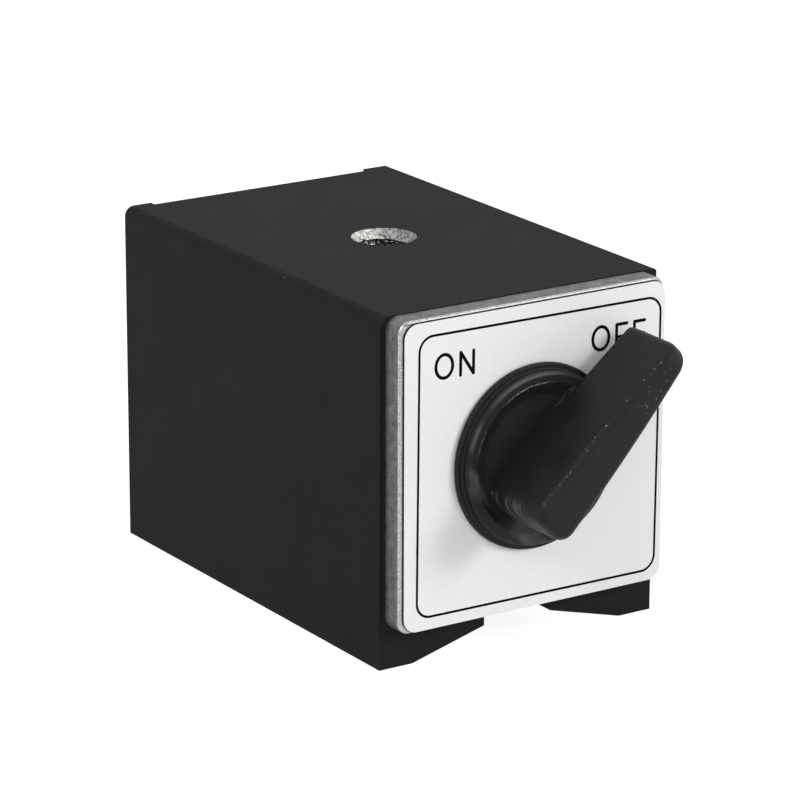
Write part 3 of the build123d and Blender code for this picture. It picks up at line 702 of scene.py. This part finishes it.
def screw_pattern_tree():
    """Four countersunk screws with hexagon sockets and threads, at the corners of a rectangle."""
    shape = ("Head Radius", "Shank Radius", "Length", "Head Rim", "Key Radius", "Key Depth", "Pitch")
    places = ("Half Width", "Half Height", "Middle Height", "Head Plane", "Lean")
    tree, given = new_tree(
        "screw_pattern",
        {
            "Geometry": ("Geometry",),
            "Float": shape + places,
            "Int": ("Facets", "Seed"),
            "Material": ("Material",),
        },
    )
    rows_per_turn = 6.0
    head_rows = 6.0
    cone = add_node(
        tree, "ShaderNodeMath", {0: given["Head Radius"], 1: given["Shank Radius"]}, operation="SUBTRACT"
    )
    head = add_node(tree, "ShaderNodeMath", {0: cone, 1: given["Head Rim"]}, operation="ADD")
    shank = add_node(tree, "ShaderNodeMath", {0: given["Length"], 1: head}, operation="SUBTRACT")
    step = add_node(tree, "ShaderNodeMath", {0: given["Pitch"], 1: rows_per_turn}, operation="DIVIDE")
    steps = add_node(tree, "ShaderNodeMath", {0: shank, 1: step}, operation="DIVIDE")
    rows = add_node(tree, "ShaderNodeMath", {0: steps, 1: head_rows + 1}, operation="ADD")
    whole = add_node(tree, "ShaderNodeMath", {0: rows}, operation="CEIL")
    grid, turn, row, last = turned_grid(tree, given["Facets"], whole)
    # A hexagon's radius, measured from the middle of a side
    sixths = add_node(tree, "ShaderNodeMath", {0: turn, 1: 6.0}, operation="MULTIPLY")
    off_side = add_node(tree, "ShaderNodeMath", {0: sixths, 1: 0.5}, operation="PINGPONG")
    slant = add_node(tree, "ShaderNodeMath", {0: off_side, 1: math.tau / 6}, operation="MULTIPLY")
    shrink = add_node(tree, "ShaderNodeMath", {0: slant}, operation="COSINE")
    hexagon = add_node(tree, "ShaderNodeMath", {0: given["Key Radius"], 1: shrink}, operation="DIVIDE")
    key_floor = add_node(tree, "ShaderNodeMath", {0: given["Key Depth"], 1: -1.0}, operation="MULTIPLY")
    rim_low = add_node(tree, "ShaderNodeMath", {0: given["Head Rim"], 1: -1.0}, operation="MULTIPLY")
    head_low = add_node(tree, "ShaderNodeMath", {0: head, 1: -1.0}, operation="MULTIPLY")
    tip = add_node(tree, "ShaderNodeMath", {0: given["Length"], 1: -1.0}, operation="MULTIPLY")
    radii = (0.0, hexagon, hexagon, given["Head Radius"], given["Head Radius"], given["Shank Radius"])
    heights = (key_floor, key_floor, 0.0, 0.0, rim_low, head_low)
    picks = []
    for values in (radii, heights):
        pick = add_node(tree, "GeometryNodeIndexSwitch", {"Index": row}, data_type="FLOAT")
        while len(pick.index_switch_items) < len(values):
            pick.index_switch_items.new()
        feed(tree, pick, dict(enumerate(values, 1)))
        picks.append(pick)
    pick_radius, pick_height = picks
    below_head = add_node(tree, "ShaderNodeMath", {0: row, 1: head_rows - 1}, operation="SUBTRACT")
    drop = add_node(tree, "ShaderNodeMath", {0: below_head, 1: step}, operation="MULTIPLY")
    sunk = add_node(tree, "ShaderNodeMath", {0: head_low, 1: drop}, operation="SUBTRACT")
    shank_height = add_node(tree, "ShaderNodeMath", {0: sunk, 1: tip}, operation="MAXIMUM")
    wave = thread_wave(tree, shank_height, turn, given["Pitch"])
    groove = add_node(tree, "ShaderNodeMath", {0: given["Pitch"], 1: -0.5}, operation="MULTIPLY")
    thread_radius = add_node(
        tree, "ShaderNodeMath", {0: wave, 1: groove, 2: given["Shank Radius"]}, operation="MULTIPLY_ADD"
    )
    before_last = add_node(tree, "ShaderNodeMath", {0: last, 1: row}, operation="SUBTRACT")
    not_last = add_node(tree, "ShaderNodeMath", {0: before_last, 1: 0.5}, operation="GREATER_THAN")
    shank_radius = add_node(tree, "ShaderNodeMath", {0: thread_radius, 1: not_last}, operation="MULTIPLY")
    past_head = {0: row, 1: head_rows - 0.5}
    on_shank = add_node(
        tree, "FunctionNodeCompare", past_head, data_type="FLOAT", operation="GREATER_THAN"
    )
    radius = add_node(
        tree, "GeometryNodeSwitch", {0: on_shank, 1: pick_radius, 2: shank_radius}, input_type="FLOAT"
    )
    height = add_node(
        tree, "GeometryNodeSwitch", {0: on_shank, 1: pick_height, 2: shank_height}, input_type="FLOAT"
    )
    screw = wrapped(tree, grid, turn, radius, height, -1.0)
    width = add_node(tree, "ShaderNodeMath", {0: given["Half Width"], 1: 2.0}, operation="MULTIPLY")
    tall = add_node(tree, "ShaderNodeMath", {0: given["Half Height"], 1: 2.0}, operation="MULTIPLY")
    corners = add_node(
        tree, "GeometryNodeMeshGrid", {"Size X": width, "Size Y": tall, "Vertices X": 2, "Vertices Y": 2}
    )
    middle = add_node(
        tree, "ShaderNodeCombineXYZ", {0: 0.0, 1: given["Head Plane"], 2: given["Middle Height"]}
    )
    upright = (math.radians(90), 0.0, 0.0)
    stood = add_node(
        tree, "GeometryNodeTransform", {"Geometry": corners, "Translation": middle, "Rotation": upright}
    )
    # Every screw was driven home at its own turn, anything up to a full one
    turns = {"Seed": given["Seed"], 3: math.tau}
    spin = add_node(tree, "FunctionNodeRandomValue", turns, data_type="FLOAT")
    facing = add_node(tree, "ShaderNodeCombineXYZ", {0: given["Lean"], 1: 0.0, 2: 0.0})
    placed = add_node(
        tree, "GeometryNodeInstanceOnPoints", {"Points": stood, "Instance": screw, "Rotation": facing}
    )
    own_turn = add_node(tree, "ShaderNodeCombineXYZ", {0: 0.0, 1: 0.0, 2: spin.outputs[1]})
    turned = add_node(tree, "GeometryNodeRotateInstances", {"Instances": placed, "Rotation": own_turn})
    real = add_node(tree, "GeometryNodeRealizeInstances", {0: turned})
    painted = add_node(tree, "GeometryNodeSetMaterial", {"Geometry": real, "Material": given["Material"]})
    add_node(tree, "NodeGroupOutput", {0: painted})
    return tree


def printed_line_tree():
    """Follows flat curves with a thin line of ink, round at the ends of every open stroke."""
    tree, given = new_tree(
        "printed_line",
        {"Geometry": ("Strokes",), "Float": ("Line Width", "Ink Thickness"), "Material": ("Ink",)},
    )
    section = add_node(
        tree,
        "GeometryNodeCurvePrimitiveQuadrilateral",
        {"Width": given["Line Width"], "Height": given["Ink Thickness"]},
    )
    swept = add_node(
        tree,
        "GeometryNodeCurveToMesh",
        {"Curve": given["Strokes"], "Profile Curve": section, "Fill Caps": True},
    )
    half = add_node(tree, "ShaderNodeMath", {0: given["Line Width"], 1: 0.5}, operation="MULTIPLY")
    dot = add_node(
        tree, "GeometryNodeMeshCylinder", {"Vertices": 24, "Radius": half, "Depth": given["Ink Thickness"]}
    )
    cyclic = add_node(tree, "GeometryNodeInputSplineCyclic")
    is_open = add_node(tree, "FunctionNodeBooleanMath", {0: cyclic}, operation="NOT")
    ends = add_node(
        tree,
        "GeometryNodeInstanceOnPoints",
        {"Points": given["Strokes"], "Selection": is_open, "Instance": dot.outputs["Mesh"]},
    )
    real_ends = add_node(tree, "GeometryNodeRealizeInstances", {0: ends})
    joined = add_node(tree, "GeometryNodeJoinGeometry", {0: real_ends})
    feed(tree, joined, {0: swept})
    shapes = {"Mesh 2": joined, "Self Intersection": True}
    united = add_node(tree, "GeometryNodeMeshBoolean", shapes, operation="UNION", solver="EXACT")
    real = add_node(tree, "GeometryNodeRealizeInstances", {0: united})
    painted = add_node(tree, "GeometryNodeSetMaterial", {"Geometry": real, "Material": given["Ink"]})
    add_node(tree, "NodeGroupOutput", {0: painted})
    return tree


def flat_curve(name, strokes):
    """Curve object in the XY plane, with one straight-segment spline for each stroke."""
    curve = bpy.data.curves.new(name, "CURVE")
    curve.dimensions = "3D"
    for points, closed in strokes:
        spline = curve.splines.new("POLY")
        spline.points.add(len(points) - 1)
        for point, (x, y) in zip(spline.points, points):
            point.co = (x, y, 0.0, 1.0)
        spline.use_cyclic_u = closed
    return new_piece(name, curve)


def oval(left, foot, width, height):
    """Letter O as a closed stroke, which reaches a trace past the other letters."""
    count = 48
    overshoot = 1.03
    height *= overshoot
    middle = (left + width / 2, foot + height / 2)
    points = []
    for number in range(count):
        angle = math.tau * number / count
        points.append((middle[0] + width / 2 * math.cos(angle), middle[1] + height / 2 * math.sin(angle)))
    return [(points, True)]


def letter_n(left, foot, width, height):
    """Letter N as three straight strokes."""
    right = left + width
    top = foot + height
    return [
        ([(left, foot), (left, top)], False),
        ([(left, top), (right, foot)], False),
        ([(right, foot), (right, top)], False),
    ]


def letter_f(left, foot, width, height):
    """Letter F as three straight strokes, with its lower bar a little shorter than the upper one."""
    top = foot + height
    bar_height = 0.44
    shorter = 0.9
    bar = foot + height * bar_height
    return [
        ([(left, foot), (left, top)], False),
        ([(left, top), (left + width, top)], False),
        ([(left, bar), (left + width * shorter, bar)], False),
    ]


def word(letters, left, sizes):
    """Strokes of a word, where each letter is a drawing function and its outer width over its height."""
    strokes = []
    line = sizes.letter_line
    for draw, slimness in letters:
        outer = slimness * sizes.letter_height
        strokes += draw(
            left + line / 2, sizes.letter_foot + line / 2, outer - line, sizes.letter_height - line
        )
        left += outer + sizes.letter_gap
    return strokes


def rounded_frame(left, right, low, high, radius):
    """Closed rectangle with rounded corners."""
    points = []
    steps = 12
    corners = ((right - radius, high - radius), (left + radius, high - radius))
    corners += ((left + radius, low + radius), (right - radius, low + radius))
    for quarter, (x, y) in enumerate(corners):
        for step in range(steps + 1):
            angle = math.radians(90) * (quarter + step / steps)
            points.append((x + radius * math.cos(angle), y + radius * math.sin(angle)))
    return [(points, True)]


def label_strokes(name, strokes, line, ink_material, tree):
    """Printed strokes, made flat and then stood up on the label's face."""
    sizes = bpy.context.scene.magnetic_base_sizes
    piece = flat_curve(name, strokes)
    piece = run_tree(piece, tree, {"Line Width": line, "Ink Thickness": sizes.ink, "Ink": ink_material})
    middle = Vector((sizes.border_left + sizes.border_right, 0, sizes.border_low + sizes.border_high)) / 2
    upright = Matrix.Translation((0, label_low.y, 0)) @ Matrix.Rotation(math.radians(90), 4, "X")
    turn = Matrix.Translation(middle) @ Matrix.Rotation(sizes.print_turn, 4, "Y")
    piece.data.transform(turn @ Matrix.Translation(-middle) @ upright)
    settle(piece, "base", "label_sheet")


class MAGNETIC_BASE_OT_block(bpy.types.Operator):
    """Coat the two poles, the lower spacer and the rear cover, and leave the soles bare"""

    bl_idname = "magnetic_base.block"
    bl_label = "Block"

    def execute(self, context):
        coat = shared(textured_powder_coat)
        steel = shared(ground_steel)
        groove_top = 4 * MM
        downward = -0.9
        for node in ("left_pole", "right_pole"):
            pole = smooth_copy(node, "coated_" + node, coat, steel)
            # The ground soles face down, and the groove's slopes do nearly
            paint_faces(pole, 1, lambda centre, normal: normal.z < downward and centre.z < groove_top)
            settle(pole, "base", "black_coated_steel", node)
        cover = smooth_copy("rear_cover", "coated_rear_cover", coat)
        settle(cover, "base", "black_coated_spacer", "rear_cover")
        finish("bottom_spacer", coat)
        return {"FINISHED"}


class MAGNETIC_BASE_OT_threaded_spacer(bpy.types.Operator):
    """Cut the thread into the top spacer and bare its countersink"""

    bl_idname = "magnetic_base.threaded_spacer"
    bl_label = "Threaded spacer"

    def execute(self, context):
        sizes = context.scene.magnetic_base_sizes
        coat = shared(textured_powder_coat)
        bare = tool_cut_metal()
        spacer = smooth_copy("top_spacer", "threaded_top_spacer", coat)
        over_top = sizes.thread_pitch / 2
        # The cut goes a little past the drilled hole and its countersink, to clear their flat facets
        skim = 0.03 * MM
        spacer = run_tree(
            spacer,
            tapped_hole_tree(),
            {
                "Thread Radius": sizes.thread_radius,
                "Drill Radius": sizes.drill_radius + skim,
                "Mouth Radius": sizes.mouth_radius + skim,
                "Pitch": sizes.thread_pitch,
                "Bottom": sizes.thread_bottom - skim,
                "Top": spacer_high.z + over_top,
                "Face": spacer_high.z,
                "Facets": context.scene.magnetic_base_stage.facets,
                "Bare Metal": bare,
                "Coating": coat,
            },
        )
        spacer = evenly_shaded(spacer)
        settle(spacer, "base", "black_coated_spacer", "top_spacer")
        return {"FINISHED"}


class MAGNETIC_BASE_OT_front_plate(bpy.types.Operator):
    """Brush the front of the plate and blast its sides"""

    bl_idname = "magnetic_base.front_plate"
    bl_label = "Front plate"

    def execute(self, context):
        to_the_front = -0.35
        finishes = (blasted_plate_side(), brushed_plate_front())
        plate = smooth_copy("front_plate", "brushed_front_plate", *finishes)
        paint_faces(plate, 1, lambda centre, normal: normal.y < to_the_front)
        settle(plate, "base", "brushed_plate", "front_plate")
        return {"FINISHED"}


class MAGNETIC_BASE_OT_label(bpy.types.Operator):
    """Finish the label and print its border and the words ON and OFF"""

    bl_idname = "magnetic_base.label"
    bl_label = "Label"

    def execute(self, context):
        sizes = context.scene.magnetic_base_sizes
        label = smooth_copy("face_label", "satin_face_label", satin_label_face(), cut_label_edge())
        to_the_side = -0.5
        paint_faces(label, 1, lambda centre, normal: normal.y > to_the_side)
        settle(label, "base", "label_sheet", "face_label")
        ink_material = screen_ink()
        tree = printed_line_tree()
        border = rounded_frame(
            sizes.border_left, sizes.border_right, sizes.border_low, sizes.border_high, sizes.border_corner
        )
        label_strokes("printed_border", border, sizes.border_line, ink_material, tree)
        letter_o = (oval, 0.87)
        on_letters = word([letter_o, (letter_n, 0.7)], sizes.on_left, sizes)
        label_strokes("printed_on", on_letters, sizes.letter_line, ink_material, tree)
        off_letters = word([letter_o, (letter_f, 0.6), (letter_f, 0.6)], sizes.off_left, sizes)
        label_strokes("printed_off", off_letters, sizes.letter_line, ink_material, tree)
        return {"FINISHED"}


class MAGNETIC_BASE_OT_screws(bpy.types.Operator):
    """Make the countersunk screws of the plate, the cover and the rotor's caps"""

    bl_idname = "magnetic_base.screws"
    bl_label = "Screws"

    def execute(self, context):
        sizes = context.scene.magnetic_base_sizes
        # Zinc plate on steel: bright and even, with a faint cloudiness
        zinc = plain_finish("zinc_plated_steel", "zinc", 0.6 * MM, 0.15, 0.32, 1.0)
        tree = screw_pattern_tree()
        forward = math.radians(90)
        # Radii of shank and head: M3 screws hold the plate and the cover, M2.5 screws the caps
        large = (1.5 * MM, 2.75 * MM)
        small = (1.25 * MM, 2.35 * MM)
        shared_sizes = {
            "Head Rim": 0.2 * MM,
            "Key Radius": 1.0 * MM,
            "Key Depth": sizes.key_depth,
            "Pitch": 0.5 * MM,
            "Facets": 48,
            "Material": zinc,
        }
        sets = (
            ("plate_screw_set", "plate_screws", "base", large, forward),
            ("cover_screw_set", "cover_screws", "base", large, -forward),
            ("front_cap_screw_set", "front_cap_screws", "rotor", small, forward),
            ("rear_cap_screw_set", "rear_cap_screws", "rotor", small, -forward),
        )
        for seed, (name, node, body, (shank, head), lean) in enumerate(sets):
            low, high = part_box(node)
            own_sizes = {
                "Head Radius": head,
                "Shank Radius": shank,
                "Length": high.y - low.y,
                "Half Width": (high.x - low.x) / 2 - head,
                "Half Height": (high.z - low.z) / 2 - head,
                "Middle Height": (high.z + low.z) / 2,
                "Head Plane": low.y if lean > 0 else high.y,
                "Lean": lean,
                "Seed": seed,
            }
            piece = new_piece(name, bpy.data.meshes.new(name))
            piece = run_tree(piece, tree, {**shared_sizes, **own_sizes})
            settle(piece, body, "bright_screw_steel", node)
        return {"FINISHED"}


class MAGNETIC_BASE_OT_knob(bpy.types.Operator):
    """Finish the moulded knob"""

    bl_idname = "magnetic_base.knob"
    bl_label = "Knob"

    def execute(self, context):
        knob = smooth_copy("knob", "moulded_knob", moulded_nylon())
        settle(knob, "rotor", "black_moulding", "knob")
        return {"FINISHED"}


class MAGNETIC_BASE_OT_inner_parts(bpy.types.Operator):
    """Finish the bushes, washers, springs, spindle and the magnet rotor"""

    bl_idname = "magnetic_base.inner_parts"
    bl_label = "Inner parts"

    def execute(self, context):
        steel = shared(ground_steel)
        # Sintered bronze: warm, matt and pitted; its real pores are finer and wouldn't show
        bronze = plain_finish("sintered_bronze", "bronze", 0.12 * MM, 0.35, 0.5, 1.0)
        # Wool felt: no gloss, with clumps of fibres; single fibres are too fine to show
        felt = plain_finish("pressed_wool_felt", "felt", 0.25 * MM, 0.45, 0.95, 0.0)
        # Die-cast aluminium: pale grey with the clouds that the melt leaves where it chills
        cast = plain_finish("die_cast_aluminium", "cast", 0.8 * MM, 0.2, 0.45, 1.0)
        # Sintered ferrite: a dark ceramic, dull and slightly mottled
        ferrite = plain_finish("sintered_ferrite", "ferrite", 0.4 * MM, 0.3, 0.6, 0.0)
        steel_nodes = ("thrust_washer", "disc_spring", "knob_leaf", "spindle")
        steel_nodes += ("upper_shoe", "lower_shoe", "stop_pin")
        finishes = (
            (bronze, ("front_bush", "rear_bush")),
            (felt, ("felt_washer",)),
            (cast, ("front_cap", "rear_cap")),
            (ferrite, ("magnet_slabs",)),
            (steel, steel_nodes),
        )
        for material, nodes in finishes:
            for node in nodes:
                finish(node, material)
        return {"FINISHED"}


def white_for_views(tree, diffuse, seen):
    """Mixes two shaders so that the camera, reflections and glass see the second one."""
    rays = add_node(tree, "ShaderNodeLightPath").outputs
    direct = add_node(
        tree, "ShaderNodeMath", {0: rays["Is Camera Ray"], 1: rays["Is Glossy Ray"]}, operation="MAXIMUM"
    )
    factor = add_node(
        tree, "ShaderNodeMath", {0: direct, 1: rays["Is Transmission Ray"]}, operation="MAXIMUM"
    )
    return add_node(tree, "ShaderNodeMixShader", {0: factor, 1: diffuse, 2: seen})


class MAGNETIC_BASE_OT_stage(bpy.types.Operator):
    """Set up the camera, the pale floor, the white surroundings and the soft lamps"""

    bl_idname = "magnetic_base.stage"
    bl_label = "Stage"

    def execute(self, context):
        stage = context.scene.magnetic_base_stage
        self.place_camera(context, stage)
        self.lay_floor(stage)
        self.surround(context, stage)
        middle = Vector((0, 0, block_high.z / 2))
        # Each lamp's name, place and width in metres, and its share of plain white
        lamps = (
            ("key_lamp", (0.8, -1.1, 0.6), 0.4, stage.key),
            ("top_lamp", (-0.1, 0.2, 1.3), 0.6, stage.top),
            ("fill_lamp", (-0.9, -0.5, 0.9), 0.4, stage.fill),
        )
        for name, place, size, share in lamps:
            self.hang_lamp(name, Vector(place), middle, size, share)
        context.scene.view_settings.view_transform = "Standard"
        return {"FINISHED"}

    def place_camera(self, context, stage):
        """Looks at the base from the photograph's side."""
        azimuth = math.radians(stage.azimuth)
        elevation = math.radians(stage.elevation)
        back = Vector(
            (
                -math.sin(azimuth) * math.cos(elevation),
                -math.cos(azimuth) * math.cos(elevation),
                math.sin(elevation),
            )
        )
        right = Vector((0, 0, 1)).cross(back).normalized()
        up = back.cross(right)
        place = Matrix((right, up, back)).transposed().to_4x4()
        place = place @ Matrix.Rotation(math.radians(stage.roll), 4, "Z")
        target = Vector((stage.target_x, stage.target_y, stage.target_z))
        camera = bpy.data.objects.new("camera", bpy.data.cameras.new("camera"))
        camera.matrix_world = Matrix.Translation(target + stage.distance * back) @ place
        camera.data.lens = stage.lens
        camera.data.sensor_width = 36.0
        context.scene.collection.objects.link(camera)
        context.scene.camera = camera

    def lay_floor(self, stage):
        """Pale floor that looks white around a soft shadow."""
        half = stage.floor / 2
        mesh = bpy.data.meshes.new("floor")
        mesh.from_pydata(
            [(-half, -half, 0), (half, -half, 0), (half, half, 0), (-half, half, 0)], [], [(0, 1, 2, 3)]
        )
        material = bpy.data.materials.new("pale_floor")
        material.use_nodes = True
        tree = material.node_tree
        tree.nodes.clear()
        plain = add_node(tree, "ShaderNodeBsdfDiffuse", {"Color": opaque(linear("EAEAEA"))})
        shadowed = add_node(tree, "ShaderNodeBsdfDiffuse", {"Color": opaque(linear("A0A0A0"))})
        glow = add_node(tree, "ShaderNodeEmission", {"Color": opaque(linear("F2F2F2")), "Strength": 1.0})
        lit = add_node(tree, "ShaderNodeAddShader", {0: shadowed, 1: glow})
        surface = white_for_views(tree, plain, lit)
        add_node(tree, "ShaderNodeOutputMaterial", {"Surface": surface})
        mesh.materials.append(material)
        floor = new_piece("floor", mesh)

    def surround(self, context, stage):
        """White surroundings that light the base from all sides at a plain level."""
        world = bpy.data.worlds.new("white_room")
        world.use_nodes = True
        tree = world.node_tree
        tree.nodes.clear()
        plain = opaque((1, 1, 1))
        soft = add_node(tree, "ShaderNodeBackground", {"Color": plain, "Strength": stage.ambience})
        white = add_node(tree, "ShaderNodeBackground", {"Color": plain, "Strength": 1.0})
        surface = white_for_views(tree, soft, white)
        add_node(tree, "ShaderNodeOutputWorld", {"Surface": surface})
        context.scene.world = world

    def hang_lamp(self, name, place, target, size, share):
        """Square soft lamp that points at the target and lights it to a share of plain white."""
        lamp = bpy.data.lights.new(name, "AREA")
        lamp.shape = "SQUARE"
        lamp.size = size
        lamp.energy = share * (math.pi * (target - place).length) ** 2
        holder = bpy.data.objects.new(name, lamp)
        aim = (target - place).to_track_quat("-Z", "Y").to_matrix().to_4x4()
        holder.matrix_world = Matrix.Translation(place) @ aim
        bpy.context.scene.collection.objects.link(holder)


class MAGNETIC_BASE_PT_panel(bpy.types.Panel):
    """Lists the steps that dress the magnetic base, with its sizes and colours"""

    bl_idname = "MAGNETIC_BASE_PT_panel"
    bl_label = "Magnetic Base"
    bl_space_type = "VIEW_3D"
    bl_region_type = "UI"
    bl_category = "Magnetic Base"

    def draw(self, context):
        layout = self.layout
        for operator in operators:
            layout.operator(operator.bl_idname)
        scene = context.scene
        for title, group in (
            ("Sizes", scene.magnetic_base_sizes),
            ("Colours", scene.magnetic_base_colours),
            ("Stage", scene.magnetic_base_stage),
        ):
            box = layout.box()
            box.label(text=title)
            for name in group.__annotations__:
                box.prop(group, name)


operators = (
    MAGNETIC_BASE_OT_stage,
    MAGNETIC_BASE_OT_block,
    MAGNETIC_BASE_OT_threaded_spacer,
    MAGNETIC_BASE_OT_front_plate,
    MAGNETIC_BASE_OT_label,
    MAGNETIC_BASE_OT_screws,
    MAGNETIC_BASE_OT_knob,
    MAGNETIC_BASE_OT_inner_parts,
)
groups = (MagneticBaseSizes, MagneticBaseColours, MagneticBaseStage)


def register():
    """Adds the property groups, the operators and the panel."""
    for kind in groups + operators + (MAGNETIC_BASE_PT_panel,):
        bpy.utils.register_class(kind)
    bpy.types.Scene.magnetic_base_sizes = PointerProperty(type=MagneticBaseSizes)
    bpy.types.Scene.magnetic_base_colours = PointerProperty(type=MagneticBaseColours)
    bpy.types.Scene.magnetic_base_stage = PointerProperty(type=MagneticBaseStage)


def unregister():
    """Takes away what register added."""
    del bpy.types.Scene.magnetic_base_stage
    del bpy.types.Scene.magnetic_base_colours
    del bpy.types.Scene.magnetic_base_sizes
    for kind in reversed(groups + operators + (MAGNETIC_BASE_PT_panel,)):
        bpy.utils.unregister_class(kind)


def main():
    """Dresses the whole base."""
    register()
    bpy.ops.magnetic_base.stage()
    bpy.ops.magnetic_base.block()
    bpy.ops.magnetic_base.threaded_spacer()
    bpy.ops.magnetic_base.front_plate()
    bpy.ops.magnetic_base.label()
    bpy.ops.magnetic_base.screws()
    bpy.ops.magnetic_base.knob()
    bpy.ops.magnetic_base.inner_parts()


if __name__ == "__main__":
    main()
